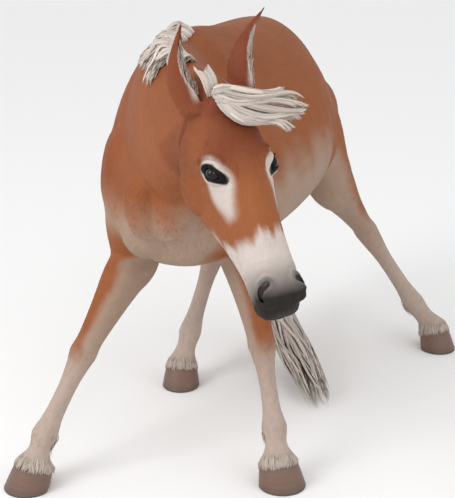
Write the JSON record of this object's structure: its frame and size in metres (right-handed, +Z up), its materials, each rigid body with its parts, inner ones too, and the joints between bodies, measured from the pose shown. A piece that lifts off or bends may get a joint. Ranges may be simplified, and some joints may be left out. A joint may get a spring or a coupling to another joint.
{
  "type": "mule, chestnut draft type, standing with forelegs spread and head lowered",
  "caption": "Life-size still model of a chestnut mule with long ears, pale mane and tail, standing straddled with its head low and turned to its left.",
  "frame": {"origin": "middle of the underside of the whole animal's box, on the ground", "axes": "+Z up, +Y from the head end to the tail, +X to the animal's own left"},
  "size_m": [1.1657, 2.1707, 1.5886],
  "materials": {
    "coat": "short chestnut coat, pale on the belly, legs and muzzle",
    "hair": "long cream grey hair",
    "hoof": "dull mauve brown horn",
    "eye": "wet dark brown"
  },
  "bodies": {
    "root": {"torso": "coat", "neck": "coat", "head": "coat", "ear_right": "coat", "ear_left": "coat", "eye_right": "eye", "eye_left": "eye", "foreleg_right": "coat", "foreleg_left": "coat", "hindleg_right": "coat", "hindleg_left": "coat", "forecannon_right": "coat", "forecannon_left": "coat", "hindcannon_right": "coat", "hindcannon_left": "coat", "forehoof_right": "hoof", "forehoof_left": "hoof", "hindhoof_right": "hoof", "hindhoof_left": "hoof", "tail_upper": "hair", "tail_lower": "hair"}
  },
  "joints": []
}
